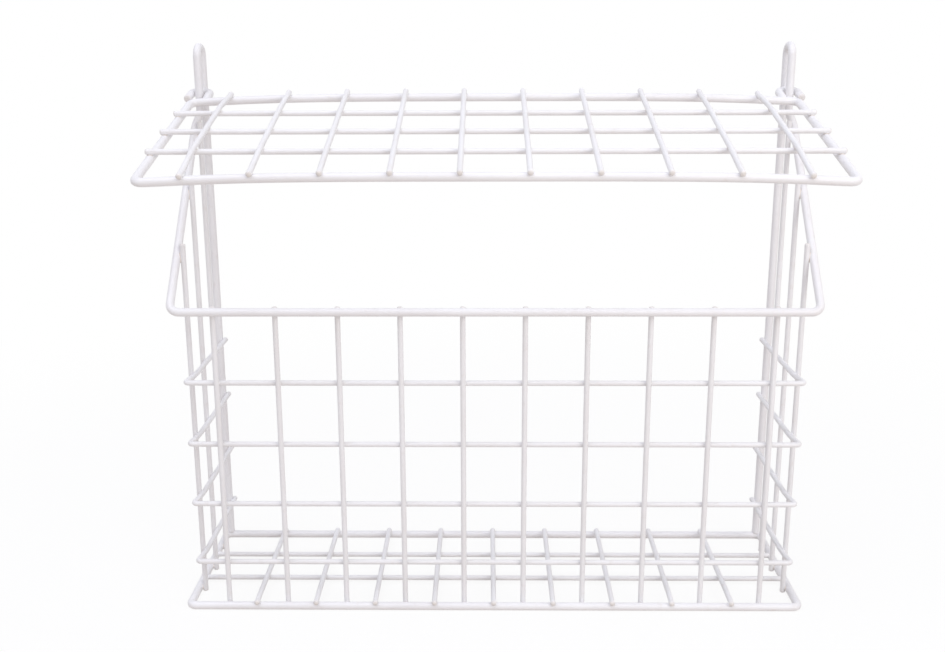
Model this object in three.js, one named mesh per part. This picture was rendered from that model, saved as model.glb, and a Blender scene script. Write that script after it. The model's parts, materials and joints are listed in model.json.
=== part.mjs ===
// Letter cage: a welded basket of white plastic-coated wire that hangs inside a door, round the letter plate.
// Millimetres, +Z up, front towards -Y, door towards +Y. It stands on Z = 0, below the middle of its box.
import * as THREE from "three";

// Coated wire, outside diameters
const FRAME_WIRE = 4.2; // frame, base ring, lid ring and hooks
const MESH_WIRE = 2.75; // all the thin wires
const FRAME_SIDES = 12; // flats round a frame wire
const MESH_SIDES = 8; // flats round a mesh wire

// Body of the cage. Heights are measured from the axis of the base ring.
const CLEAR_WIDTH = 312.0; // between the two back uprights, face to face
const BODY_DEPTH = 88.0; // front rail axis to back rail axis of the base ring
const FRONT_HEIGHT = 159.8; // axis of the front rail
const ARM_SLOPE = 49.0; // degrees, side arm above the horizontal
const LEG_BEND_RUN = 8.3; // length of leg and of arm that the bend between them takes
const LOOP_GAP = 7.0; // inside the hang loop, front leg to back upright, face to face
const LOOP_RISE = 25.3; // hinge axis up to the top of the hang loop's axis
const FRONT_CORNER = 4.8; // bend radius at the ends of the front rail
const RING_CORNER = 3.5; // bend radius of the base ring
const BELT_CORNER = 1.9; // bend radius of the belts
const BELT_FLARE = 2.2; // belt corner outside the belt's side run, which it meets at the first side wire

// Mesh of the cage. The wires of each row are spread evenly between its first and its last one.
const FRONT_COUNT = 10; // front wires, with one base cross wire between each two
const FRONT_EDGE = 14.8; // outermost front wire to the bend of the belts
const FRONT_TIP = 2.1; // front wire above the axis of the front rail
const SIDE_COUNT = 3; // side wires on each side
const SIDE_FIRST = 20.5; // front rail to the first side wire
const SIDE_LAST = 6.4; // last side wire to the front leg
const SIDE_TIP = 7.0; // side wire above the axis of the arm
const BELT_COUNT = 4; // belts
const BELT_FIRST = 22.4; // height of the lowest belt
const BELT_LAST = 38.4; // top belt below the front rail
const BELT_TAIL = 2.6; // belt past the axis of the upright
const BASE_LONG_COUNT = 2; // long base wires
const BASE_LONG_FIRST = 30.5; // front rail to the first long base wire
const BASE_LONG_LAST = 29.0; // last long base wire to the back rail
const BASE_FRONT_TAIL = 3.4; // base cross wire past the axis of the front rail it lies on
const BASE_BACK_TAIL = 0.2; // base cross wire past the axis of the back rail

// Lid, laid out flat. Depths are measured from its back rail towards the front.
const LID_SHORT = 5.8; // lid's front rail short of the cage's front rail, along the lid when it is down
const LID_CORNER = 4.2; // bend radius of the lid ring
const LID_SIDE_GAP = 0.1; // lid ring to the tips of the side wires, when the lid is down
const LID_LONG_COUNT = 3; // long wires
const LID_LONG_FIRST = 28.0; // back rail to the first long wire
const LID_LONG_LAST = 29.9; // last long wire to the front rail
const LID_LONG_TAIL = 2.0; // long wire past the axis of the lid's sides
const LID_COUNT = 10; // cross wires
const LID_EDGE = 17.3; // outermost cross wire to the corner bend
const LID_FRONT_TAIL = 3.4; // cross wire past the axis of the front rail
const LID_BACK_TAIL = 2.6; // cross wire past the axis of the back rail
const LID_TILT = 14.7; // degrees, front edge down, as the lid stands half open

// Hinge: two hooks of the lid reach round the front legs of the hang loops.
const HINGE_LIFT = 4.6; // hinge axis above the bend of the leg
const HINGE_SETBACK = 8.2; // lid's back rail axis to the hinge axis, along the lid
const HOOK_RISE = 1.3; // hook and hinge axis above the plane of the lid ring
const HOOK_BACK_PLAY = 0.35; // hook to the back upright
const HOOK_SIDE_PLAY = 0.8; // hook to the leg, on each side

const SEAT = 0.1; // open gap where a cut end meets another wire
const WELD_GAP = 0.09; // open gap between the flats of two wires that are welded where they cross
const ARC_STEP = 15.0; // degrees between the sections of a bend

// Sizes that follow from the ones above: wires that cross lie on each other
const frameR = FRAME_WIRE / 2;
const meshR = MESH_WIRE / 2;
const frameFlat = frameR * Math.cos(Math.PI / FRAME_SIDES);
const meshFlat = meshR * Math.cos(Math.PI / MESH_SIDES);
const crossing = frameFlat + WELD_GAP + meshFlat;
const meshCrossing = meshFlat + WELD_GAP + meshFlat;
const clearHalf = CLEAR_WIDTH / 2;
const uprightX = clearHalf + frameR;
const beltX = uprightX - crossing;
const sideWireX = beltX + meshCrossing;
const armX = sideWireX + crossing;
const frontWireY = crossing;
const beltY = frontWireY + meshCrossing;
const ringInset = uprightX - (armX - RING_CORNER);
const uprightY = BODY_DEPTH - RING_CORNER + Math.sqrt(RING_CORNER ** 2 - ringInset ** 2);
const loopSpread = LOOP_GAP + FRAME_WIRE;
const legY = uprightY - loopSpread;
const slope = THREE.MathUtils.degToRad(ARM_SLOPE);
const armHeight = (y) => FRONT_HEIGHT + y * Math.tan(slope);
const bendTop = armHeight(legY) + LEG_BEND_RUN;
const hingeZ = bendTop + HINGE_LIFT;
const loopTop = hingeZ + LOOP_RISE;

const UP = new THREE.Vector3(0, 0, 1);
const ACROSS = new THREE.Vector3(1, 0, 0);
const at = (x, y, z) => new THREE.Vector3(x, y, z);
const mirrored = (p) => at(-p.x, p.y, p.z);

// Places of the wires in a row, spread evenly from the first to the last
const row = (first, last, count) =>
  Array.from({ length: count }, (_, i) => first + ((last - first) * i) / (count - 1));

// Points of a round bend about a centre. It starts at one arm of the bend and turns towards the other.
function arc(centre, from, towards, degrees) {
  const steps = Math.max(2, Math.ceil(degrees / ARC_STEP));
  return Array.from({ length: steps + 1 }, (_, i) => {
    const turn = THREE.MathUtils.degToRad((degrees * i) / steps);
    return centre.clone().addScaledVector(from, Math.cos(turn)).addScaledVector(towards, Math.sin(turn));
  });
}

// Closed outline of a flat rectangle with round corners, as four corner bends and any points given for its rails
function roundedRectangle(halfWidth, front, back, z, radius, frontRail = [], backRail = []) {
  const out = at(radius, 0, 0);
  const rear = at(0, radius, 0);
  const left = out.clone().negate();
  const fore = rear.clone().negate();
  const x = halfWidth - radius;
  return [
    ...frontRail,
    ...arc(at(x, front + radius, z), fore, out, 90),
    ...arc(at(x, back - radius, z), out, rear, 90),
    ...backRail,
    ...arc(at(-x, back - radius, z), rear, left, 90),
    ...arc(at(-x, front + radius, z), left, fore, 90),
  ];
}

// Where the line from a point along a direction meets the plane through another point
function slideTo(point, direction, onPlane, normal) {
  const run = onPlane.clone().sub(point).dot(normal) / direction.dot(normal);
  return point.clone().addScaledVector(direction, run);
}

// Bent wire: a many-sided section swept along a line of points and mitred at each one. A flat of the section
// starts out facing the given direction. A closed line joins its end to its start, an open one has cut ends.
function bentWire(points, diameter, sides, facing, closed = false) {
  const count = points.length;
  const runs = points.map((p, i) => points[(i + 1) % count].clone().sub(p).normalize());
  const side = new THREE.Vector3().crossVectors(runs[0], facing).normalize();
  const face = new THREE.Vector3().crossVectors(side, runs[0]);
  let section = Array.from({ length: sides }, (_, k) => {
    const turn = ((k + 0.5) / sides) * 2 * Math.PI;
    const out = side.clone().multiplyScalar(Math.cos(turn)).addScaledVector(face, Math.sin(turn));
    return points[0].clone().addScaledVector(out, diameter / 2);
  });
  const sections = [];
  for (let i = 0; i < count; i++) {
    const arriving = i > 0 || closed ? runs[(i + count - 1) % count] : runs[0];
    const leaving = i < count - 1 || closed ? runs[i] : arriving;
    const mitre = arriving.clone().add(leaving).normalize();
    const along = i === 0 ? leaving : arriving;
    section = section.map((v) => slideTo(v, along, points[i], mitre));
    sections.push(section);
  }
  const index = [];
  const spans = closed ? count : count - 1;
  for (let i = 0; i < spans; i++) {
    const a = i * sides;
    const b = ((i + 1) % count) * sides;
    for (let k = 0; k < sides; k++) {
      const next = (k + 1) % sides;
      index.push(a + k, b + k, b + next, a + k, b + next, a + next);
    }
  }
  const last = (count - 1) * sides;
  for (let k = 1; !closed && k < sides - 1; k++) {
    index.push(0, k, k + 1, last, last + k + 1, last + k);
  }
  const geometry = new THREE.BufferGeometry().setFromPoints(sections.flat());
  geometry.setIndex(index);
  geometry.computeVertexNormals();
  return geometry;
}

// Straight mesh wire about its own middle, along one of the axes, with flats that face the other two
const turnedAlong = { x: [0, 0, Math.PI / 2], y: [0, 0, 0], z: [Math.PI / 2, 0, 0] };
const straightWire = (length) =>
  new THREE.CylinderGeometry(meshR, meshR, length, MESH_SIDES, 1, false, Math.PI / MESH_SIDES);

// White plastic coat over steel: it lies a little smoother on the thick wires than on the thin ones
const frameCoat = () => new THREE.MeshStandardMaterial({ color: 0xf1eff4, roughness: 0.34, metalness: 0.0 });
const meshCoat = () => new THREE.MeshStandardMaterial({ color: 0xeeecf2, roughness: 0.4, metalness: 0.0 });

// One wire of the object, placed in the group that carries it
function addWire(group, name, geometry, coat, position = at(0, 0, 0), along = "y") {
  const wire = new THREE.Mesh(geometry, coat());
  wire.name = name;
  wire.position.copy(position);
  wire.rotation.set(...turnedAlong[along]);
  group.add(wire);
}

const cage = new THREE.Group();

// Main frame: one wire from foot to foot. Each half climbs as a back upright, turns over as a narrow hang loop,
// comes down as the front leg, bends out into the side arm and turns into the front rail.
const armRun = at(0, Math.cos(slope), Math.sin(slope));
const bendLow = at(armX, legY, armHeight(legY)).addScaledVector(armRun, -LEG_BEND_RUN);
const bendHigh = at(uprightX, legY, bendTop);
const bendPull = LEG_BEND_RUN * 0.6;
const legBend = new THREE.CubicBezierCurve3(
  bendLow,
  bendLow.clone().addScaledVector(armRun, bendPull),
  bendHigh.clone().addScaledVector(UP, -bendPull),
  bendHigh,
);
const frontBendCentre = at(armX - FRONT_CORNER, 0, FRONT_HEIGHT).addScaledVector(armRun, FRONT_CORNER);
const frontBendStart = armRun.clone().multiplyScalar(-FRONT_CORNER);
const frontBend = arc(frontBendCentre, frontBendStart, at(FRONT_CORNER, 0, 0), 90);
const loopR = loopSpread / 2;
const loop = arc(at(uprightX, legY + loopR, loopTop - loopR), at(0, -loopR, 0), at(0, 0, loopR), 180);
const uprightFoot = at(uprightX, uprightY, frameR + SEAT);
const frameHalf = [...frontBend, ...legBend.getPoints(6), ...loop, uprightFoot];
const frameLine = [...frameHalf.map(mirrored).reverse(), ...frameHalf];
addWire(cage, "frame_wire", bentWire(frameLine, FRAME_WIRE, FRAME_SIDES, ACROSS), frameCoat);

// Base ring: a closed rectangle that lies flat, with the uprights standing on its back corners
const ringLine = roundedRectangle(armX, 0, BODY_DEPTH, 0, RING_CORNER);
addWire(cage, "base_ring", bentWire(ringLine, FRAME_WIRE, FRAME_SIDES, UP, true), frameCoat);

// Front wires: upright behind the front rail and inside the ring
const frontWireTop = FRONT_HEIGHT + FRONT_TIP;
const frontWireMiddle = (frontWireTop - frameFlat) / 2;
const frontLast = beltX + BELT_FLARE - BELT_CORNER - FRONT_EDGE;
const frontWires = row(-frontLast, frontLast, FRONT_COUNT);
frontWires.forEach((x, i) => {
  const geometry = straightWire(frontWireTop + frameFlat);
  addWire(cage, `front_wire_${i + 1}`, geometry, meshCoat, at(x, frontWireY, frontWireMiddle), "z");
});

// Side wires: upright inside the arms and inside the ring, from the ring up to just past the arm
for (const [hand, sign] of [["left", -1], ["right", 1]]) {
  row(SIDE_FIRST, legY - SIDE_LAST, SIDE_COUNT).forEach((y, i) => {
    const top = armHeight(y) + SIDE_TIP;
    const middle = at(sign * sideWireX, y, (top - frameFlat) / 2);
    addWire(cage, `side_wire_${hand}_${i + 1}`, straightWire(top + frameFlat), meshCoat, middle, "z");
  });
}

// Belts: three-sided wires that run inside the side wires, the front wires and the back uprights
const beltBendCentre = at(beltX + BELT_FLARE - BELT_CORNER, beltY + BELT_CORNER, 0);
const beltBend = arc(beltBendCentre, at(0, -BELT_CORNER, 0), at(BELT_CORNER, 0, 0), 90);
const beltHalf = [...beltBend, at(beltX, SIDE_FIRST - meshR, 0), at(beltX, uprightY + BELT_TAIL, 0)];
const beltLine = [...beltHalf.map(mirrored).reverse(), ...beltHalf];
row(BELT_FIRST, FRONT_HEIGHT - BELT_LAST, BELT_COUNT).forEach((z, i) => {
  addWire(cage, `belt_${i + 1}`, bentWire(beltLine, MESH_WIRE, MESH_SIDES, UP), meshCoat, at(0, 0, z));
});

// Base wires: the cross wires lie over the rails of the ring, half a step off the front wires. The long wires
// lie under the cross wires and end against the sides of the ring.
const baseCrossZ = crossing;
const baseCross = straightWire(BODY_DEPTH + BASE_FRONT_TAIL + BASE_BACK_TAIL);
const baseCrossY = (BODY_DEPTH + BASE_BACK_TAIL - BASE_FRONT_TAIL) / 2;
frontWires.slice(1).forEach((x, i) => {
  const middle = at((frontWires[i] + x) / 2, baseCrossY, baseCrossZ);
  addWire(cage, `base_cross_wire_${i + 1}`, baseCross, meshCoat, middle, "y");
});
const baseLong = straightWire(2 * (armX - frameR - SEAT));
row(BASE_LONG_FIRST, BODY_DEPTH - BASE_LONG_LAST, BASE_LONG_COUNT).forEach((y, i) => {
  const middle = at(0, y, baseCrossZ - meshCrossing);
  addWire(cage, `base_long_wire_${i + 1}`, baseLong, meshCoat, middle, "x");
});

// Lid: a group of its own that turns about the hinge axis. In the group, -Y runs to the front edge of the lid.
const lid = new THREE.Group();
lid.position.set(0, legY, hingeZ);
lid.rotation.x = THREE.MathUtils.degToRad(LID_TILT);
cage.add(lid);

const lidX = sideWireX + meshR + LID_SIDE_GAP + frameR;
const lidBackY = -HINGE_SETBACK;
const lidFrontY = LID_SHORT - Math.hypot(legY, hingeZ - FRONT_HEIGHT);
const lidZ = -HOOK_RISE;
const lidLongZ = lidZ + crossing;
const lidCrossZ = lidLongZ + meshCrossing;

// Lid ring: its front and back rails bow up towards the cross wires, which lie one wire above the sides
const bowHalf = lidX - LID_CORNER;
const bowHeight = meshCrossing;
const bow = (x) => bowHeight * (1 - (x / bowHalf) ** 4);
const bowStops = [-0.92, -0.82, -0.7, -0.55, -0.35, 0, 0.35, 0.55, 0.7, 0.82, 0.92].map((s) => s * bowHalf);
const lidLine = roundedRectangle(
  lidX,
  lidFrontY,
  lidBackY,
  lidZ,
  LID_CORNER,
  bowStops.map((x) => at(x, lidFrontY, lidZ + bow(x))),
  bowStops.map((x) => at(-x, lidBackY, lidZ + bow(x))),
);
addWire(lid, "lid_ring", bentWire(lidLine, FRAME_WIRE, FRAME_SIDES, UP, true), frameCoat);

// Long wires of the lid lie over its two sides
const lidLong = straightWire(2 * (lidX + LID_LONG_TAIL));
const lidDepth = lidBackY - lidFrontY;
const lidLongDepths = row(LID_LONG_FIRST, lidDepth - LID_LONG_LAST, LID_LONG_COUNT);
lidLongDepths.forEach((depth, i) => {
  addWire(lid, `lid_long_wire_${i + 1}`, lidLong, meshCoat, at(0, lidBackY - depth, lidLongZ), "x");
});

// Cross wires lie over the long wires, and their ends are pressed down to the bowed rails
const firstLong = lidBackY - lidLongDepths[0];
const lastLong = lidBackY - lidLongDepths[lidLongDepths.length - 1];
row(LID_EDGE - bowHalf, bowHalf - LID_EDGE, LID_COUNT).forEach((x, i) => {
  const endZ = lidZ + bow(x) + crossing;
  const line = [
    at(0, lidFrontY - LID_FRONT_TAIL, endZ),
    at(0, lidFrontY + frameR, endZ),
    at(0, lastLong - MESH_WIRE, lidCrossZ),
    at(0, firstLong + MESH_WIRE, lidCrossZ),
    at(0, lidBackY - frameR, endZ),
    at(0, lidBackY + LID_BACK_TAIL, endZ),
  ];
  addWire(lid, `lid_cross_wire_${i + 1}`, bentWire(line, MESH_WIRE, MESH_SIDES, ACROSS), meshCoat, at(x, 0, 0));
});

// Hooks: each is a U of frame wire welded to the back rail beside a leg. It passes through the hang loop behind
// the leg and comes forward again outside it, where its cut end stays free.
const hookHalf = frameR + HOOK_SIDE_PLAY + frameR;
const hookFrontY = lidBackY + frameR + SEAT;
const hookBackY = LOOP_GAP - HOOK_BACK_PLAY;
const hookBend = arc(at(0, hookBackY - hookHalf, 0), at(-hookHalf, 0, 0), at(0, hookHalf, 0), 180);
const hookLine = [at(-hookHalf, hookFrontY, 0), ...hookBend, at(hookHalf, hookFrontY, 0)];
const hook = bentWire(hookLine, FRAME_WIRE, FRAME_SIDES, UP);
addWire(lid, "lid_hook_left", hook, frameCoat, at(-uprightX, 0, 0));
addWire(lid, "lid_hook_right", hook, frameCoat, at(uprightX, 0, 0));

// The part stands on Z = 0 below the middle of its box
const part = new THREE.Group();
part.add(cage);
part.updateMatrixWorld(true);
const box = new THREE.Box3().setFromObject(cage, true);
cage.position.set(0, -(box.min.y + box.max.y) / 2, -box.min.z);

export default part;
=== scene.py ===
# Letter cage of white coated wire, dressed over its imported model. Metres, front towards -Y, +Z up.
import json
import math

import bpy
from mathutils import Matrix, Vector
from mathutils.geometry import intersect_line_line


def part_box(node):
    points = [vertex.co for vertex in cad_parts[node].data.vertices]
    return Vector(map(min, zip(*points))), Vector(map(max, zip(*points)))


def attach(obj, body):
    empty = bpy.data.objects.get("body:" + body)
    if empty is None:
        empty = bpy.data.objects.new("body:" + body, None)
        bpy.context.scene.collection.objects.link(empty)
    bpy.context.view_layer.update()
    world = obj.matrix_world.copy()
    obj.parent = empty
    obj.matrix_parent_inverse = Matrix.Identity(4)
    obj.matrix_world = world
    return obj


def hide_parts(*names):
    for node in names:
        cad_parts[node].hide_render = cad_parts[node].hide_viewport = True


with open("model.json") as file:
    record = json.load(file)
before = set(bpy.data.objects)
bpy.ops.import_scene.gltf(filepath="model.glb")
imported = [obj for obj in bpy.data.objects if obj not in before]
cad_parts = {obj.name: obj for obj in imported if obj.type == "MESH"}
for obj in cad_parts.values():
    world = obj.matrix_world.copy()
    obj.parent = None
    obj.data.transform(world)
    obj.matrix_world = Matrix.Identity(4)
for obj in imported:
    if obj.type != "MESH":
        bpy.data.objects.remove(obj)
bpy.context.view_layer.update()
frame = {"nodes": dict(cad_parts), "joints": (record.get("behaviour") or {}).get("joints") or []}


# Main frame: one thick steel wire, bent from foot to foot into back uprights, narrow hang loops, side
# arms and the front rail. The finished cage is heated and dipped in white plastic powder, which melts
# to a smooth coat.
MM = 0.001
# Thickness over the coat, and the sides of the dressed wire's round section
THICK = 4.2 * MM
THICK_SIDES = 20
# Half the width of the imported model's thick wire, which is measured across its twelve flats
FRAME_FLATS = 12
THICK_FLAT = THICK / 2 * math.cos(math.pi / FRAME_FLATS)
# Places in millimetres from the middle of the front rail of the base ring
UPRIGHT_X = 158.1
UPRIGHT_Y = 87.89
LEG_Y = 76.69
FRONT_HEIGHT = 159.8
LOOP_TOP = 286.22
ARM_SLOPE = math.radians(49.0)
# The bend from leg to arm is two corners, each a share of the bend's run away from where the runs meet
LEG_BEND_RUN = 8.3
LEG_CORNER_SHARE = 0.4
# Bend radii in millimetres. The loop's two bends leave a short run between them at the top.
LOOP_BEND = 5.3
LEG_BEND = 11.0
FRONT_BEND = 4.8
# Depth that the feet sink into the ring
FOOT_SUNK = 1.0

ring_low, ring_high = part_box("base_ring")
arm_x = (ring_high.x - THICK_FLAT) / MM


def from_front(x, y, z):
    """Place in the cage, in millimetres from the middle of the front rail of the base ring."""
    return Vector((x * MM, ring_low.y + THICK_FLAT + y * MM, ring_low.z + THICK_FLAT + z * MM))


def colour(hex_code):
    """Linear colour of an sRGB hex value."""
    parts = [int(hex_code[i:i + 2], 16) / 255 for i in (1, 3, 5)]
    return [c / 12.92 if c <= 0.04045 else ((c + 0.055) / 1.055) ** 2.4 for c in parts] + [1.0]


def add(tree, kind, links=None, **settings):
    """Adds a node with its settings. Links give a value, a socket or a node for each of its inputs."""
    node = tree.nodes.new(kind)
    for key, value in settings.items():
        setattr(node, key, value)
    for key, value in (links or {}).items():
        if isinstance(value, bpy.types.Node):
            value = value.outputs[0]
        if isinstance(value, bpy.types.NodeSocket):
            tree.links.new(value, node.inputs[key])
        else:
            node.inputs[key].default_value = value
    return node


# Sizes of the coat's patches and handling marks, and depth of its ripple, in millimetres
PATCH = 35.0
MARK = 5.0
RIPPLE_DEPTH = 0.1
RIPPLE_STRENGTH = 0.05
# Range of each noise that makes patches and marks, and the most that a mark covers
PATCH_FROM = 0.35
PATCH_TO = 0.65
MARK_FROM = 0.6
MARK_TO = 0.85
MARK_SHARE = 0.5
# Roughness that is lost where the coat is clean and added where it is marked
CLEAN_GLOSS = 0.08
MARK_DULLNESS = 0.12
MARK_COLOUR = "#E6E0DC"
BARE_COLOUR = "#DDD2C5"
PLASTIC_IOR = 1.5


def dip_coat(name, white, shade, peel, roughness, bare_end=0.0):
    """White plastic dip coat: satin, softly rippled, whiter in patches, and thin and tan on cut ends.
    Peel is the size of its ripple in millimetres, and bare end is how much of the tan shows there."""
    material = bpy.data.materials.new(name)
    material.use_nodes = True
    tree = material.node_tree
    tree.nodes.clear()
    place = add(tree, "ShaderNodeTexCoord").outputs["Object"]
    # Patches where the coat lies thicker and looks whiter
    patches = add(tree, "ShaderNodeTexNoise", {"Vector": place, "Scale": 1 / (PATCH * MM), "Detail": 3.0})
    patch = add(tree, "ShaderNodeMapRange", {
        "Value": patches, "From Min": PATCH_FROM, "From Max": PATCH_TO})
    # Handling marks, a little darker and rougher
    marks = add(tree, "ShaderNodeTexNoise", {"Vector": place, "Scale": 1 / (MARK * MM), "Detail": 5.0})
    mark = add(tree, "ShaderNodeMapRange", {
        "Value": marks, "From Min": MARK_FROM, "From Max": MARK_TO, "To Max": MARK_SHARE})
    # Ripple of the melted powder, drawn at about a millimetre so that it shows
    ripple = add(tree, "ShaderNodeTexNoise", {"Vector": place, "Scale": 1 / (peel * MM), "Detail": 2.0})
    tip = add(tree, "ShaderNodeAttribute", attribute_name="tip").outputs["Fac"]
    bare = add(tree, "ShaderNodeMath", {0: tip, 1: bare_end}, operation="MULTIPLY", use_clamp=True)
    coat = add(tree, "ShaderNodeMix", {
        0: patch, 6: colour(shade), 7: colour(white)}, data_type="RGBA")
    worn = add(tree, "ShaderNodeMix", {
        0: mark, 6: coat.outputs[2], 7: colour(MARK_COLOUR)}, data_type="RGBA")
    ended = add(tree, "ShaderNodeMix", {
        0: bare, 6: worn.outputs[2], 7: colour(BARE_COLOUR)}, data_type="RGBA")
    dull = add(tree, "ShaderNodeMapRange", {
        "Value": marks, "To Min": roughness - CLEAN_GLOSS, "To Max": roughness + MARK_DULLNESS})
    bump = add(tree, "ShaderNodeBump", {
        "Height": ripple, "Strength": RIPPLE_STRENGTH, "Distance": RIPPLE_DEPTH * MM})
    surface = add(tree, "ShaderNodeBsdfPrincipled", {
        "Base Color": ended.outputs[2], "Roughness": dull, "Normal": bump, "IOR": PLASTIC_IOR})
    add(tree, "ShaderNodeOutputMaterial", {"Surface": surface})
    return material


# Polythene powder melted on hot wire, a clean satin white. On thick wire, which stays hot for longer after
# the dip, it flows out smoother and shines a little more.
thick_coat = dip_coat(
    "dip coat on thick wire", white="#F6F6F8", shade="#F1F0F2", peel=1.2, roughness=0.36, bare_end=0.3)

# Tree for a coated wire: it rounds the corners of a path, sweeps a round section along it and swells
# and domes the open ends, where the melted coat gathers. Lumps of the coat are in millimetres.
LUMP = 14.0
NOISE_MIDDLE = 0.5
coated_wire = bpy.data.node_groups.new("coated wire", "GeometryNodeTree")
wire_sockets = {}
for socket_name, socket_kind in (
    ("Path", "NodeSocketGeometry"), ("Diameter", "NodeSocketFloat"), ("Sides", "NodeSocketInt"),
    ("Bend steps", "NodeSocketInt"), ("Tip length", "NodeSocketFloat"),
    ("Tip swelling", "NodeSocketFloat"), ("End face", "NodeSocketFloat"),
    ("Unevenness", "NodeSocketFloat"), ("Coat", "NodeSocketMaterial"),
):
    socket = coated_wire.interface.new_socket(socket_name, in_out="INPUT", socket_type=socket_kind)
    wire_sockets[socket_name] = socket.identifier
coated_wire.interface.new_socket("Wire", in_out="OUTPUT", socket_type="NodeSocketGeometry")
given = add(coated_wire, "NodeGroupInput").outputs
path = add(coated_wire, "GeometryNodeMeshToCurve", {"Mesh": given["Path"]})
bend = add(coated_wire, "GeometryNodeInputNamedAttribute", {"Name": "bend"}, data_type="FLOAT")
bent = add(coated_wire, "GeometryNodeFilletCurve", {
    "Curve": path, "Count": given["Bend steps"], "Radius": bend, "Limit Radius": True}, mode="POLY")
# Distance to the nearer end of the wire
run = add(coated_wire, "GeometryNodeSplineParameter").outputs["Length"]
whole = add(coated_wire, "GeometryNodeSplineLength").outputs["Length"]
left_over = add(coated_wire, "ShaderNodeMath", {0: whole, 1: run}, operation="SUBTRACT")
to_end = add(coated_wire, "ShaderNodeMath", {0: run, 1: left_over}, operation="MINIMUM")
# Dome over the cut end, with a flat face left in its middle
into_tip = add(coated_wire, "ShaderNodeMath", {
    0: to_end, 1: given["Tip length"]}, operation="DIVIDE", use_clamp=True)
tip = add(coated_wire, "ShaderNodeMath", {0: 1.0, 1: into_tip}, operation="SUBTRACT")
tip_square = add(coated_wire, "ShaderNodeMath", {0: tip, 1: tip}, operation="MULTIPLY")
dome_square = add(coated_wire, "ShaderNodeMath", {0: 1.0, 1: tip_square}, operation="SUBTRACT")
dome_round = add(coated_wire, "ShaderNodeMath", {0: dome_square}, operation="SQRT")
rim = add(coated_wire, "ShaderNodeMath", {0: 1.0, 1: given["End face"]}, operation="SUBTRACT")
dome = add(coated_wire, "ShaderNodeMath", {
    0: dome_round, 1: rim, 2: given["End face"]}, operation="MULTIPLY_ADD")
# Drop of coat that swells the last diameter of the wire
into_drop = add(coated_wire, "ShaderNodeMath", {
    0: to_end, 1: given["Diameter"]}, operation="DIVIDE", use_clamp=True)
drop = add(coated_wire, "ShaderNodeMath", {0: 1.0, 1: into_drop}, operation="SUBTRACT")
swelling = add(coated_wire, "ShaderNodeMath", {
    0: drop, 1: given["Tip swelling"], 2: 1.0}, operation="MULTIPLY_ADD")
end_size = add(coated_wire, "ShaderNodeMath", {0: dome, 1: swelling}, operation="MULTIPLY")
# A closed ring has no ends to dome
ringed = add(coated_wire, "GeometryNodeInputSplineCyclic")
size = add(coated_wire, "GeometryNodeSwitch", {
    "Switch": ringed, "False": end_size, "True": 1.0}, input_type="FLOAT")
# The coat's thickness varies slowly along the wire
place = add(coated_wire, "GeometryNodeInputPosition")
lumps = add(coated_wire, "ShaderNodeTexNoise", {"Vector": place, "Scale": 1 / (LUMP * MM), "Detail": 1.0})
lump = add(coated_wire, "ShaderNodeMath", {0: lumps, 1: NOISE_MIDDLE}, operation="SUBTRACT")
uneven = add(coated_wire, "ShaderNodeMath", {
    0: lump, 1: given["Unevenness"], 2: 1.0}, operation="MULTIPLY_ADD")
scale = add(coated_wire, "ShaderNodeMath", {0: size, 1: uneven}, operation="MULTIPLY")
# The cut end is marked for its thin coat
bare = add(coated_wire, "GeometryNodeSwitch", {
    "Switch": ringed, "False": tip, "True": 0.0}, input_type="FLOAT")
marked = add(coated_wire, "GeometryNodeStoreNamedAttribute", {
    "Geometry": bent, "Name": "tip", "Value": bare}, data_type="FLOAT", domain="POINT")
radius = add(coated_wire, "ShaderNodeMath", {0: given["Diameter"], 1: 0.5}, operation="MULTIPLY")
section = add(coated_wire, "GeometryNodeCurvePrimitiveCircle", {
    "Resolution": given["Sides"], "Radius": radius})
swept = add(coated_wire, "GeometryNodeCurveToMesh", {
    "Curve": marked, "Profile Curve": section, "Scale": scale, "Fill Caps": True})
smooth = add(coated_wire, "GeometryNodeSetShadeSmooth", {"Geometry": swept})
solid = add(coated_wire, "GeometryNodeRealizeInstances", {"Geometry": smooth})
dressed = add(coated_wire, "GeometryNodeSetMaterial", {"Geometry": solid, "Material": given["Coat"]})
add(coated_wire, "NodeGroupOutput", {"Wire": dressed})

# Length between the points of a straight run, their distance from a bend, and the points near an open
# end, which are in diameters
RUN_STEP = 6.0 * MM
BEND_CLEAR = 0.8 * MM
END_STOPS = (0.025, 0.09, 0.2, 0.35, 0.5, 0.75, 1.0)
# Points in the round of a bend, and the share of its diameter by which a wire's coat varies
BEND_STEPS = 15
UNEVENNESS = 0.012
# Radius and straight runs of each wire, by body
runs = {"cage": [], "lid": []}


def laid_out(corners, diameter, closed):
    """Points of a wire's path with the bend radius at each: its corners, and stops along its runs."""
    laid = []
    spans = len(corners) if closed else len(corners) - 1
    for i in range(spans):
        start, start_bend = corners[i]
        end, end_bend = corners[(i + 1) % len(corners)]
        length = (end - start).length
        first = start_bend + BEND_CLEAR if start_bend else 0.0
        last = length - end_bend - BEND_CLEAR if end_bend else length
        stops = []
        if not closed and i == 0:
            stops += [s * diameter for s in END_STOPS]
            first = stops[-1]
        tail = []
        if not closed and i == spans - 1:
            tail = [length - s * diameter for s in reversed(END_STOPS)]
            last = tail[0]
        steps = max(1, math.ceil((last - first) / RUN_STEP))
        if last - first > RUN_STEP:
            first_step = 0 if first > 0 and not stops else 1
            stops += [first + (last - first) * k / steps for k in range(first_step, steps)]
        laid.append((start, start_bend))
        laid += [(start.lerp(end, s / length), 0.0) for s in stops + tail]
    if not closed:
        laid.append(corners[-1])
    return laid


def as_plain_mesh(piece):
    """Turns what the piece's modifier makes into its own mesh."""
    shape = bpy.data.meshes.new_from_object(
        piece.evaluated_get(bpy.context.evaluated_depsgraph_get()))
    piece.modifiers.clear()
    piece.data = shape


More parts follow.
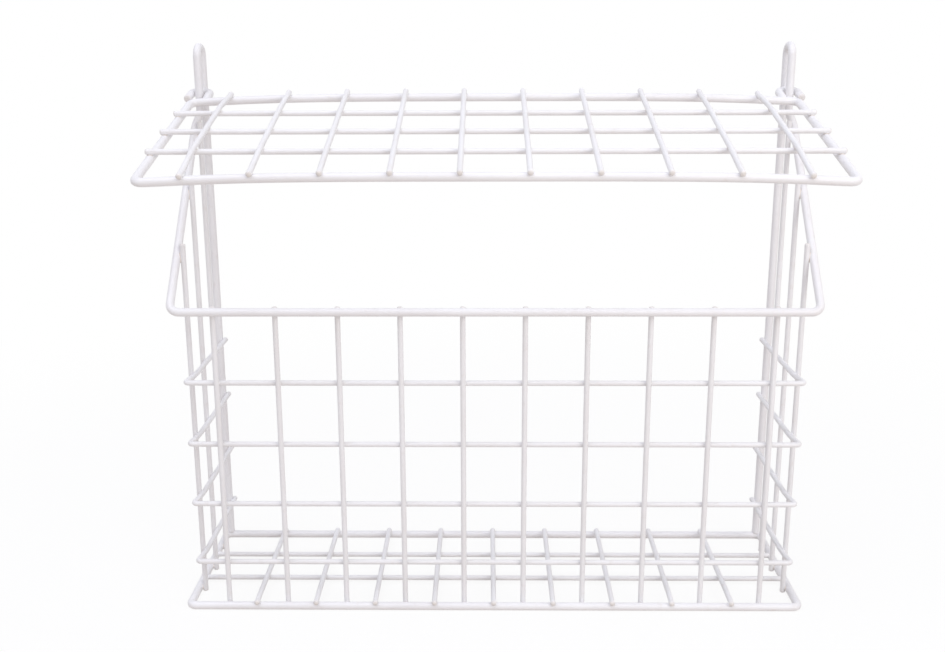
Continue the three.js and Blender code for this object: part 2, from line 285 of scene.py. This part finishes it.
def coated(name, body, paths, diameter, coat, sides, closed=False, dome=0.3, face=0.35, swelling=0.1):
    """One piece of coated wires along the given paths, riding on a body. The last three shape the open
    ends: length of the dome in diameters, share of the end that stays flat, and share of added width."""
    points = []
    bends = []
    edges = []
    for corners in paths:
        first = len(points)
        for point, radius_there in laid_out(corners, diameter, closed):
            points.append(point)
            bends.append(radius_there)
        edges += [(i, i + 1) for i in range(first, len(points) - 1)]
        if closed:
            edges.append((len(points) - 1, first))
        loop = corners + corners[:1] if closed else corners
        runs[body].append((diameter / 2, [(a[0], b[0]) for a, b in zip(loop, loop[1:])]))
    mesh = bpy.data.meshes.new(name)
    mesh.from_pydata(points, edges, [])
    mesh.attributes.new("bend", "FLOAT", "POINT").data.foreach_set("value", bends)
    piece = bpy.data.objects.new(name, mesh)
    bpy.context.scene.collection.objects.link(piece)
    modifier = piece.modifiers.new("coated wire", "NODES")
    modifier.node_group = coated_wire
    modifier[wire_sockets["Diameter"]] = diameter
    modifier[wire_sockets["Sides"]] = sides
    modifier[wire_sockets["Bend steps"]] = BEND_STEPS
    modifier[wire_sockets["Tip length"]] = diameter * dome
    modifier[wire_sockets["Tip swelling"]] = swelling
    modifier[wire_sockets["End face"]] = face
    modifier[wire_sockets["Unevenness"]] = UNEVENNESS
    modifier[wire_sockets["Coat"]] = coat
    as_plain_mesh(piece)
    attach(piece, body)
    return piece


arm_at_leg = FRONT_HEIGHT + LEG_Y * math.tan(ARM_SLOPE)
bend_share = LEG_BEND_RUN * LEG_CORNER_SHARE
corner_y = LEG_Y - bend_share * math.cos(ARM_SLOPE)
corner_z = arm_at_leg - bend_share * math.sin(ARM_SLOPE)
frame_half = [
    (from_front(arm_x, 0, FRONT_HEIGHT), FRONT_BEND * MM),
    (from_front(arm_x, corner_y, corner_z), LEG_BEND * MM),
    (from_front(UPRIGHT_X, LEG_Y, arm_at_leg + bend_share), LEG_BEND * MM),
    (from_front(UPRIGHT_X, LEG_Y, LOOP_TOP), LOOP_BEND * MM),
    (from_front(UPRIGHT_X, UPRIGHT_Y, LOOP_TOP), LOOP_BEND * MM),
    (from_front(UPRIGHT_X, UPRIGHT_Y, THICK / 2 / MM - FOOT_SUNK), 0.0),
]
frame_path = [(Vector((-p.x, p.y, p.z)), b) for p, b in reversed(frame_half)] + frame_half
frame_piece = coated("frame_wire_coated", "cage", [frame_path], THICK, thick_coat, THICK_SIDES)
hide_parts("frame_wire")


# Base ring: a closed rectangle of the same thick wire with tight corners. It lies flat, and the feet of
# the main frame are welded to its back corners.
RING_BEND = 3.5
ring_back = (ring_high.y - THICK_FLAT - ring_low.y - THICK_FLAT) / MM
ring_path = [
    (from_front(x, y, 0), RING_BEND * MM)
    for x, y in ((-arm_x, 0), (arm_x, 0), (arm_x, ring_back), (-arm_x, ring_back))
]
ring_piece = coated("base_ring_coated", "cage", [ring_path], THICK, thick_coat, THICK_SIDES, closed=True)
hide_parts("base_ring")


# Front wires: ten thin uprights of steel wire, cut to length. They stand behind the front rail and inside
# the ring, and are welded to both.
THIN = 2.75 * MM
THIN_SIDES = 14
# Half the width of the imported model's thin wire, which is measured across its eight flats
MESH_FLATS = 8
THIN_FLAT = THIN / 2 * math.cos(math.pi / MESH_FLATS)

# The same polythene coat on thin wire, which cools sooner after the dip: it keeps more ripple and is less
# glossy.
thin_coat = dip_coat(
    "dip coat on thin wire", white="#F5F5F7", shade="#F0EFF0", peel=0.9, roughness=0.4, bare_end=0.42)


def axis_of(node, reach=0.0):
    """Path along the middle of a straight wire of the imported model, both ends moved out by a reach."""
    low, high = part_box(node)
    size = high - low
    k = max(range(3), key=lambda i: size[i])
    start = (low + high) / 2
    end = start.copy()
    start[k] = low[k] - reach
    end[k] = high[k] + reach
    return [(start, 0.0), (end, 0.0)]


def nodes_named(start):
    """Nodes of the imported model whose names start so, in order."""
    return sorted((n for n in frame["nodes"] if n.startswith(start)), key=lambda n: (len(n), n))


front_nodes = nodes_named("front_wire_")
front_paths = [axis_of(n) for n in front_nodes]
front_piece = coated("front_wires_coated", "cage", front_paths, THIN, thin_coat, THIN_SIDES)
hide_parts(*front_nodes)


# Side wires: three thin uprights on each side, cut from the same wire as the front ones. They are welded
# inside the arms and inside the ring, and end a little above the arms.
side_nodes = nodes_named("side_wire_")
side_paths = [axis_of(n) for n in side_nodes]
side_piece = coated("side_wires_coated", "cage", side_paths, THIN, thin_coat, THIN_SIDES)
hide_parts(*side_nodes)


# Belts: four thin wires bent to three sides, inside the front wires, the side wires and the back
# uprights. They flare a little at the front corners, and the welding presses them into the side wires
# and the uprights.
BELT_BEND = 1.9
BELT_FLARE = 2.2
# Radius of the gentle bend where the flare ends, just before the first side wire behind the front rail
FLARE_BEND = 80.0
SIDE_FIRST = 20.5
# How far the welding presses one wire into another
PRESS = 0.4
belt_nodes = nodes_named("belt_")
belt_paths = []
for node in belt_nodes:
    low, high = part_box(node)
    corner_x = high.x - THIN_FLAT
    side_x = corner_x - (BELT_FLARE - PRESS) * MM
    front = low.y + THIN_FLAT
    flare_end = from_front(0, SIDE_FIRST, 0).y - THIN / 2
    z = (low.z + high.z) / 2
    half = [
        (Vector((corner_x, front, z)), BELT_BEND * MM),
        (Vector((side_x, flare_end, z)), FLARE_BEND * MM),
        (Vector((side_x, high.y, z)), 0.0)]
    belt_paths.append([(Vector((-p.x, p.y, p.z)), b) for p, b in reversed(half)] + half)
belt_piece = coated("belts_coated", "cage", belt_paths, THIN, thin_coat, THIN_SIDES)
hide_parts(*belt_nodes)


# Base wires: nine thin cross wires over the rails of the ring, their ends pressed into the rails by the
# welding, and two long ones under them that are welded end on to the sides of the ring.
PRESS_RUN = 12.0
PRESS_BEND = 30.0
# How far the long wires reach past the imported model's, into the ring
LONG_SUNK = 1.2
cross_nodes = nodes_named("base_cross_wire_")
cross_paths = []
for node in cross_nodes:
    (start, _), (end, _) = axis_of(node)
    sunk = Vector((0, 0, -PRESS * MM))
    inward = Vector((0, PRESS_RUN * MM, 0))
    cross_paths.append([
        (start + sunk, 0.0), (start + inward, PRESS_BEND * MM),
        (end - inward, PRESS_BEND * MM), (end + sunk, 0.0)])
cross_piece = coated(
    "base_cross_wires_coated", "cage", cross_paths, THIN, thin_coat, THIN_SIDES,
    dome=0.45, face=0.12, swelling=0.16)
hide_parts(*cross_nodes)
long_nodes = nodes_named("base_long_wire_")
long_paths = [axis_of(n, LONG_SUNK * MM) for n in long_nodes]
long_piece = coated("base_long_wires_coated", "cage", long_paths, THIN, thin_coat, THIN_SIDES)
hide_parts(*long_nodes)


# Lid ring: a closed rectangle of thick wire, carried by two hooks. Its front and back rails bow up to the
# cross wires, which lie a thin wire's width above its sides. Places are in millimetres from the hinge
# axis, along the tilted lid and square to it.
LID_TILT = math.radians(14.7)
LID_FRONT = -121.11
LID_BACK = -8.2
LID_PLANE = -1.3
LID_BEND = 4.2
LID_BOW = 2.63
# Power of the bow's curve, flat in the middle and steep near the corners, and its steps to each side
BOW_POWER = 4
BOW_STEPS = 16
hinge = Vector(frame["joints"][0]["pos_m"])
lid_turn = Matrix.Rotation(LID_TILT, 3, "X")
lid_x = (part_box("lid_ring")[1].x - THICK_FLAT) / MM
bow_half = lid_x - LID_BEND


def on_lid(x, y, z):
    """Place on the tilted lid, in millimetres from the middle of the hinge axis."""
    return hinge + lid_turn @ (Vector((x, y, z)) * MM)


def bow(x):
    """Rise of the lid's front and back rails."""
    return LID_BOW * (1 - (x / bow_half) ** BOW_POWER)


bow_stops = [bow_half * k / BOW_STEPS for k in range(1 - BOW_STEPS, BOW_STEPS)]
lid_path = [(on_lid(-lid_x, LID_FRONT, LID_PLANE), LID_BEND * MM)]
lid_path += [(on_lid(x, LID_FRONT, LID_PLANE + bow(x)), 0.0) for x in bow_stops]
lid_path += [(on_lid(lid_x, LID_FRONT, LID_PLANE), LID_BEND * MM)]
lid_path += [(on_lid(lid_x, LID_BACK, LID_PLANE), LID_BEND * MM)]
lid_path += [(on_lid(-x, LID_BACK, LID_PLANE + bow(x)), 0.0) for x in bow_stops]
lid_path += [(on_lid(-lid_x, LID_BACK, LID_PLANE), LID_BEND * MM)]
lid_piece = coated("lid_ring_coated", "lid", [lid_path], THICK, thick_coat, THICK_SIDES, closed=True)
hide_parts("lid_ring")


# Lid hooks: two short lengths of thick wire bent to a U. The inner arm is welded down on the back rail of
# the lid. The bend goes through the hang loop, behind its front leg, and the cut end of the outer arm
# stays free.
HOOK_HALF = 5.0
HOOK_FRONT = -6.0
HOOK_BACK = 6.65
HOOK_BEND = 4.7
# Dip of the inner arm into the back rail, with its run and its bend
HOOK_DIP = -1.1
DIP_RUN = 5.0
DIP_BEND = 6.0
hook_paths = []
for side in (-1, 1):
    inner = side * (UPRIGHT_X - HOOK_HALF)
    outer = side * (UPRIGHT_X + HOOK_HALF)
    hook_paths.append([
        (on_lid(inner, LID_BACK, HOOK_DIP), 0.0),
        (on_lid(inner, LID_BACK + DIP_RUN, 0), DIP_BEND * MM),
        (on_lid(inner, HOOK_BACK, 0), HOOK_BEND * MM),
        (on_lid(outer, HOOK_BACK, 0), HOOK_BEND * MM),
        (on_lid(outer, HOOK_FRONT, 0), 0.0)])
hook_piece = coated(
    "lid_hooks_coated", "lid", hook_paths, THICK, thick_coat, THICK_SIDES,
    dome=0.16, face=0.55, swelling=0.02)
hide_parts("lid_hook_left", "lid_hook_right")


# Lid mesh: three long thin wires welded over the sides of the lid ring, and ten cross wires over them
# whose ends are pressed down to the bowed rails.
LID_FRONT_TAIL = 3.4
LID_BACK_TAIL = 2.6
KINK_BEND = 30.0
lid_long_nodes = nodes_named("lid_long_wire_")
lid_long_paths = [axis_of(n) for n in lid_long_nodes]
lid_long_piece = coated("lid_long_wires_coated", "lid", lid_long_paths, THIN, thin_coat, THIN_SIDES)
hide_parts(*lid_long_nodes)
long_places = [lid_turn.inverted() @ (p[0][0] - hinge) / MM for p in lid_long_paths]
long_fronts = sorted(p.y for p in long_places)
on_long = long_places[0].z + LID_BOW
on_rail = long_places[0].z
lid_cross_nodes = nodes_named("lid_cross_wire_")
lid_cross_paths = []
for node in lid_cross_nodes:
    low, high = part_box(node)
    x = (low.x + high.x) / 2 / MM
    end_z = on_rail + bow(x) - PRESS
    lid_cross_paths.append([
        (on_lid(x, LID_FRONT - LID_FRONT_TAIL, end_z), 0.0),
        (on_lid(x, LID_FRONT + THICK / 2 / MM, end_z), KINK_BEND * MM),
        (on_lid(x, long_fronts[0] - THIN / MM, on_long), KINK_BEND * MM),
        (on_lid(x, long_fronts[-1] + THIN / MM, on_long), KINK_BEND * MM),
        (on_lid(x, LID_BACK - THICK / 2 / MM, end_z), KINK_BEND * MM),
        (on_lid(x, LID_BACK + LID_BACK_TAIL, end_z), 0.0)])
lid_cross_piece = coated(
    "lid_cross_wires_coated", "lid", lid_cross_paths, THIN, thin_coat, THIN_SIDES,
    dome=0.4, face=0.2, swelling=0.12)
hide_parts(*lid_cross_nodes)


# Coat fillets: where two wires cross, the melted plastic draws into the gap beside the weld and sets as a
# small hollow-sided saddle between them. One tree shapes the saddle and sets it on every crossing.
FILLET_GAP = 0.9
FILLET_SINK = 0.25
# How far the saddle's sides draw in, and the share of a wire's radius that its rim may stand off the axis
FILLET_WAIST = 0.9
FLANK = 0.95
# Least share off the axis, which keeps the rim's reach from running away along a wire
LEAST_OFF = 0.01
SADDLE_SIDES = 16
SADDLE_STEPS = 3

# Coat in the welds, warmer and darker than the rest: painted shade for the warm shadow between crossing
# wires
weld_coat_painted_shade = dip_coat(
    "dip coat in the welds with painted shade", white="#F0EAE4", shade="#E6DCD2", peel=0.9, roughness=0.42)

coat_fillet = bpy.data.node_groups.new("coat fillet", "GeometryNodeTree")
fillet_sockets = {}
for socket_name, socket_kind in (
    ("Crossings", "NodeSocketGeometry"), ("Lower radius", "NodeSocketFloat"),
    ("Upper radius", "NodeSocketFloat"), ("Angle", "NodeSocketFloat"), ("Gap", "NodeSocketFloat"),
    ("Sink", "NodeSocketFloat"), ("Waist", "NodeSocketFloat"), ("Coat", "NodeSocketMaterial"),
):
    socket = coat_fillet.interface.new_socket(socket_name, in_out="INPUT", socket_type=socket_kind)
    fillet_sockets[socket_name] = socket.identifier
coat_fillet.interface.new_socket("Fillets", in_out="OUTPUT", socket_type="NodeSocketGeometry")
given = add(coat_fillet, "NodeGroupInput").outputs
drum = add(coat_fillet, "GeometryNodeMeshCylinder", {
    "Vertices": SADDLE_SIDES, "Side Segments": SADDLE_STEPS, "Radius": 1.0, "Depth": 1.0},
    fill_type="NGON")
place = add(coat_fillet, "GeometryNodeInputPosition")
part = add(coat_fillet, "ShaderNodeSeparateXYZ", {0: place}).outputs
# The side draws in towards half its height
up = add(coat_fillet, "ShaderNodeMath", {0: part["Z"], 1: 0.5}, operation="ADD", use_clamp=True)
down = add(coat_fillet, "ShaderNodeMath", {0: 1.0, 1: up}, operation="SUBTRACT")
middle = add(coat_fillet, "ShaderNodeMath", {0: up, 1: down}, operation="MULTIPLY")
draw = add(coat_fillet, "ShaderNodeMath", {0: middle, 1: given["Waist"]}, operation="MULTIPLY")
waist = add(coat_fillet, "ShaderNodeMath", {0: 1.0, 1: draw}, operation="SUBTRACT")
# Distance from the upper wire's axis, which lies at an angle to the lower one
slant_sine = add(coat_fillet, "ShaderNodeMath", {0: given["Angle"]}, operation="SINE")
slant_cosine = add(coat_fillet, "ShaderNodeMath", {0: given["Angle"]}, operation="COSINE")
off_by_y = add(coat_fillet, "ShaderNodeMath", {0: part["Y"], 1: slant_cosine}, operation="MULTIPLY")
off_by_x = add(coat_fillet, "ShaderNodeMath", {0: part["X"], 1: slant_sine}, operation="MULTIPLY")
off_upper = add(coat_fillet, "ShaderNodeMath", {0: off_by_x, 1: off_by_y}, operation="SUBTRACT")
# Reach in each direction, as far as the gap between the two round wires stays narrow enough
across = add(coat_fillet, "ShaderNodeMath", {0: part["Y"], 1: part["Y"]}, operation="MULTIPLY")
along = add(coat_fillet, "ShaderNodeMath", {0: off_upper, 1: off_upper}, operation="MULTIPLY")
fall = add(coat_fillet, "ShaderNodeMath", {0: across, 1: given["Lower radius"]}, operation="DIVIDE")
rise = add(coat_fillet, "ShaderNodeMath", {0: along, 1: given["Upper radius"]}, operation="DIVIDE")
opening = add(coat_fillet, "ShaderNodeMath", {0: fall, 1: rise}, operation="ADD")
twice_gap = add(coat_fillet, "ShaderNodeMath", {0: given["Gap"], 1: 2.0}, operation="MULTIPLY")
reach_square = add(coat_fillet, "ShaderNodeMath", {0: twice_gap, 1: opening}, operation="DIVIDE")
gap_square = add(coat_fillet, "ShaderNodeMath", {0: given["Gap"], 1: given["Gap"]}, operation="MULTIPLY")
reach_true = add(coat_fillet, "ShaderNodeMath", {0: reach_square, 1: gap_square}, operation="SUBTRACT")
reach_full = add(coat_fillet, "ShaderNodeMath", {0: reach_true}, operation="SQRT")
# The rim stays on the flanks of both wires, also where they cross at a slant
for off_axis, wire_radius in ((part["Y"], given["Lower radius"]), (off_upper, given["Upper radius"])):
    off_size = add(coat_fillet, "ShaderNodeMath", {0: off_axis}, operation="ABSOLUTE")
    off_least = add(coat_fillet, "ShaderNodeMath", {0: off_size, 1: LEAST_OFF}, operation="MAXIMUM")
    flank = add(coat_fillet, "ShaderNodeMath", {0: wire_radius, 1: FLANK}, operation="MULTIPLY")
    flank_reach = add(coat_fillet, "ShaderNodeMath", {0: flank, 1: off_least}, operation="DIVIDE")
    reach_full = add(coat_fillet, "ShaderNodeMath", {0: reach_full, 1: flank_reach}, operation="MINIMUM")
reach = add(coat_fillet, "ShaderNodeMath", {0: reach_full, 1: waist}, operation="MULTIPLY")
saddle_x = add(coat_fillet, "ShaderNodeMath", {0: part["X"], 1: reach}, operation="MULTIPLY")
saddle_y = add(coat_fillet, "ShaderNodeMath", {0: part["Y"], 1: reach}, operation="MULTIPLY")
off_reach = add(coat_fillet, "ShaderNodeMath", {0: off_upper, 1: reach}, operation="MULTIPLY")
# Floor just inside the lower wire and roof just inside the upper one
y_square = add(coat_fillet, "ShaderNodeMath", {0: saddle_y, 1: saddle_y}, operation="MULTIPLY")
off_square = add(coat_fillet, "ShaderNodeMath", {0: off_reach, 1: off_reach}, operation="MULTIPLY")
lower_square = add(coat_fillet, "ShaderNodeMath", {0: given["Lower radius"], 1: 2.0}, operation="POWER")
upper_square = add(coat_fillet, "ShaderNodeMath", {0: given["Upper radius"], 1: 2.0}, operation="POWER")
lower_left = add(coat_fillet, "ShaderNodeMath", {0: lower_square, 1: y_square}, operation="SUBTRACT")
upper_left = add(coat_fillet, "ShaderNodeMath", {0: upper_square, 1: off_square}, operation="SUBTRACT")
lower_height = add(coat_fillet, "ShaderNodeMath", {0: lower_left}, operation="SQRT")
upper_height = add(coat_fillet, "ShaderNodeMath", {0: upper_left}, operation="SQRT")
lower_top = add(coat_fillet, "ShaderNodeMath", {
    0: lower_height, 1: given["Lower radius"]}, operation="SUBTRACT")
upper_under = add(coat_fillet, "ShaderNodeMath", {
    0: given["Upper radius"], 1: upper_height}, operation="SUBTRACT")
floor_z = add(coat_fillet, "ShaderNodeMath", {0: lower_top, 1: given["Sink"]}, operation="SUBTRACT")
roof_z = add(coat_fillet, "ShaderNodeMath", {0: upper_under, 1: given["Sink"]}, operation="ADD")
saddle_z = add(coat_fillet, "ShaderNodeMix", {
    0: up, 2: floor_z, 3: roof_z}, data_type="FLOAT", clamp_factor=True)
saddle_place = add(coat_fillet, "ShaderNodeCombineXYZ", {0: saddle_x, 1: saddle_y, 2: saddle_z})
saddle = add(coat_fillet, "GeometryNodeSetPosition", {"Geometry": drum, "Position": saddle_place})
smooth = add(coat_fillet, "GeometryNodeSetShadeSmooth", {"Geometry": saddle})
# Each saddle stands up towards the upper wire and turns to the lower one
to_upper = add(coat_fillet, "GeometryNodeInputNamedAttribute", {
    "Name": "outward"}, data_type="FLOAT_VECTOR")
lower_way = add(coat_fillet, "GeometryNodeInputNamedAttribute", {
    "Name": "along"}, data_type="FLOAT_VECTOR")
stood = add(coat_fillet, "FunctionNodeAlignRotationToVector", {"Vector": to_upper}, axis="Z")
turned = add(coat_fillet, "FunctionNodeAlignRotationToVector", {
    "Rotation": stood, "Vector": lower_way}, axis="X", pivot_axis="Z")
saddles = add(coat_fillet, "GeometryNodeInstanceOnPoints", {
    "Points": given["Crossings"], "Instance": smooth, "Rotation": turned})
solid = add(coat_fillet, "GeometryNodeRealizeInstances", {"Geometry": saddles})
dressed = add(coat_fillet, "GeometryNodeSetMaterial", {"Geometry": solid, "Material": given["Coat"]})
add(coat_fillet, "NodeGroupOutput", {"Fillets": dressed})

# Space that crossing wires may leave between them, and the places to which their angles are compared
CROSSING_SPACE = 0.2 * MM
ANGLE_PLACES = 2
SQUARE = round(math.pi / 2, ANGLE_PLACES)


def crossings(body):
    """Where wires of a body cross, as place, run of the lower wire and way to the upper one. They are
    kept by the two radii and by the angle from the lower run to the upper one."""
    found = {}
    wires = sorted(runs[body], key=lambda w: -w[0])
    for i, (lower, lower_runs) in enumerate(wires):
        for upper, upper_runs in wires[i + 1:]:
            if upper > THIN / 2:
                continue
            met = []
            for a, b in lower_runs:
                for c, d in upper_runs:
                    near = intersect_line_line(a, b, c, d)
                    if near is None:
                        continue
                    p, q = near
                    apart = (q - p).length
                    # Wires that lie against each other, and not ones that meet end on
                    if apart > lower + upper + CROSSING_SPACE or apart < lower:
                        continue
                    # On the upper run, and on the lower one or just past its end
                    if (p - a).dot(p - b) > lower ** 2 or (q - c).dot(q - d) > 0:
                        continue
                    # Two runs that join in a bend count once
                    if any((p - other).length < lower for other in met):
                        continue
                    met.append(p)
                    way = (q - p).normalized()
                    spot = p + way * (lower - (lower + upper - apart) / 2)
                    lower_run = (b - a).normalized()
                    upper_run = (d - c).normalized()
                    sine = way.dot(lower_run.cross(upper_run))
                    turn = math.atan2(sine, lower_run.dot(upper_run)) % math.pi
                    alike = (lower, upper, round(turn, ANGLE_PLACES))
                    found.setdefault(alike, []).append((spot, lower_run, way))
    return found


for body in ("cage", "lid"):
    for (lower, upper, turn), entries in crossings(body).items():
        name = body + ("_frame_fillets" if lower > upper else "_mesh_fillets")
        if turn != SQUARE:
            name = body + ("_arm_fillets_left" if entries[0][0].x < 0 else "_arm_fillets_right")
        mesh = bpy.data.meshes.new(name)
        mesh.from_pydata([spot for spot, _, _ in entries], [], [])
        for key, k in (("along", 1), ("outward", 2)):
            numbers = [number for entry in entries for number in entry[k]]
            mesh.attributes.new(key, "FLOAT_VECTOR", "POINT").data.foreach_set("vector", numbers)
        piece = bpy.data.objects.new(name, mesh)
        bpy.context.scene.collection.objects.link(piece)
        modifier = piece.modifiers.new("coat fillet", "NODES")
        modifier.node_group = coat_fillet
        modifier[fillet_sockets["Lower radius"]] = lower
        modifier[fillet_sockets["Upper radius"]] = upper
        modifier[fillet_sockets["Angle"]] = turn
        modifier[fillet_sockets["Gap"]] = FILLET_GAP * MM
        modifier[fillet_sockets["Sink"]] = FILLET_SINK * MM
        modifier[fillet_sockets["Waist"]] = FILLET_WAIST
        # The saddles take the coat with painted shade
        modifier[fillet_sockets["Coat"]] = weld_coat_painted_shade
        as_plain_mesh(piece)
        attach(piece, body)


# Ground and surround: a sheet of pale paper that the cage stands on. It bounces a little warm light to the
# undersides. The camera and reflections see it as white that keeps the shadow near the cage and runs out
# to plain white.
GROUND_HALF = 4.0
GROUND_COLOUR = "#DAD2CA"
WHITE = (1.0, 1.0, 1.0, 1.0)
# Distances from the middle of the cage between which the shadow fades, and the share of plain white nearby
SHADOW_NEAR = 0.2
SHADOW_FAR = 0.7
NEAR_WHITE = 0.88
ground_mesh = bpy.data.meshes.new("ground")
ground_mesh.from_pydata(
    [(x * GROUND_HALF, y * GROUND_HALF, 0.0) for x, y in ((-1, -1), (1, -1), (1, 1), (-1, 1))],
    [], [(0, 1, 2, 3)])
ground = bpy.data.objects.new("ground", ground_mesh)
bpy.context.scene.collection.objects.link(ground)
paper = bpy.data.materials.new("white paper")
paper.use_nodes = True
tree = paper.node_tree
tree.nodes.clear()
ray = add(tree, "ShaderNodeLightPath").outputs
seen = add(tree, "ShaderNodeMath", {
    0: ray["Is Camera Ray"], 1: ray["Is Glossy Ray"]}, operation="MAXIMUM")
shown = add(tree, "ShaderNodeMath", {0: seen, 1: ray["Is Transmission Ray"]}, operation="MAXIMUM")
ground_place = add(tree, "ShaderNodeTexCoord").outputs["Object"]
away = add(tree, "ShaderNodeVectorMath", {0: ground_place}, operation="LENGTH").outputs["Value"]
plain = add(tree, "ShaderNodeMapRange", {
    "Value": away, "From Min": SHADOW_NEAR, "From Max": SHADOW_FAR, "To Min": NEAR_WHITE, "To Max": 1.0},
    interpolation_type="SMOOTHSTEP")
share = add(tree, "ShaderNodeMath", {0: shown, 1: plain}, operation="MULTIPLY")
tone = add(tree, "ShaderNodeMix", {0: shown, 6: colour(GROUND_COLOUR), 7: WHITE}, data_type="RGBA")
lit = add(tree, "ShaderNodeBsdfDiffuse", {"Color": tone.outputs[2]})
white = add(tree, "ShaderNodeEmission", {"Color": WHITE, "Strength": 1.0})
sheet = add(tree, "ShaderNodeMixShader", {0: share, 1: lit, 2: white})
add(tree, "ShaderNodeOutputMaterial", {"Surface": sheet})
ground_mesh.materials.append(paper)

# Soft light from all round the room, which the camera and reflections see as white
ROOM_COLOUR = "#F3F2F7"
ROOM_STRENGTH = 0.56
world = bpy.data.worlds.new("studio")
bpy.context.scene.world = world
world.use_nodes = True
tree = world.node_tree
tree.nodes.clear()
ray = add(tree, "ShaderNodeLightPath").outputs
seen = add(tree, "ShaderNodeMath", {
    0: ray["Is Camera Ray"], 1: ray["Is Glossy Ray"]}, operation="MAXIMUM")
shown = add(tree, "ShaderNodeMath", {0: seen, 1: ray["Is Transmission Ray"]}, operation="MAXIMUM")
room = add(tree, "ShaderNodeBackground", {"Color": colour(ROOM_COLOUR), "Strength": ROOM_STRENGTH})
white = add(tree, "ShaderNodeBackground", {"Color": WHITE, "Strength": 1.0})
surround = add(tree, "ShaderNodeMixShader", {0: shown, 1: room, 2: white})
add(tree, "ShaderNodeOutputWorld", {"Surface": surround})


# Light: one wide soft box above, a little to the left and in front, cool as daylight, and a weak one near
# the cage at its front right. Both face the middle of the cage.
cage_middle = Vector((0.0, 0.0, 0.15))
for name, place, size, power, tint in (
    ("top box", (-0.6, -0.6, 2.3), 2.0, 25.0, "#F1F3FF"),
    ("right box", (0.6, -0.82, 0.6), 0.7, 4.3, "#FFFCF9"),
):
    lamp = bpy.data.lights.new(name, "AREA")
    lamp.shape = "SQUARE"
    lamp.size = size
    lamp.energy = power
    lamp.color = colour(tint)[:3]
    holder = bpy.data.objects.new(name, lamp)
    holder.location = place
    holder.rotation_euler = (cage_middle - Vector(place)).to_track_quat("-Z", "Y").to_euler()
    bpy.context.scene.collection.objects.link(holder)


# Camera: a little left of the middle and about as high as the hang loops, looking down at the front, as
# in the photograph. Its place is in millimetres and its angles are in radians.
EYE = (-3.9, -537.7, 292.46)
YAW = -0.0126
PITCH = 0.254
ROLL = -0.0030
FOCAL_PIXELS = 1124.2
PHOTO_PIXELS = 945
SENSOR_WIDTH = 36.0
NEAREST_SEEN = 0.01
ahead = Vector((math.sin(YAW), math.cos(YAW), 0.0))
view = ahead * math.cos(PITCH) - Vector((0, 0, math.sin(PITCH)))
level_up = Vector((0, 0, math.cos(PITCH))) + ahead * math.sin(PITCH)
level_right = Vector((math.cos(YAW), -math.sin(YAW), 0.0))
right = level_right * math.cos(ROLL) + level_up * math.sin(ROLL)
upward = level_up * math.cos(ROLL) - level_right * math.sin(ROLL)
camera = bpy.data.cameras.new("camera")
camera.sensor_fit = "HORIZONTAL"
camera.sensor_width = SENSOR_WIDTH
camera.lens = SENSOR_WIDTH * (FOCAL_PIXELS / PHOTO_PIXELS)
camera.clip_start = NEAREST_SEEN
camera_stand = bpy.data.objects.new("camera", camera)
camera_turn = Matrix((right, upward, -view)).transposed().to_4x4()
camera_stand.matrix_world = Matrix.Translation(from_front(*EYE)) @ camera_turn
bpy.context.scene.collection.objects.link(camera_stand)
bpy.context.scene.camera = camera_stand
bpy.context.scene.view_settings.view_transform = "Standard"
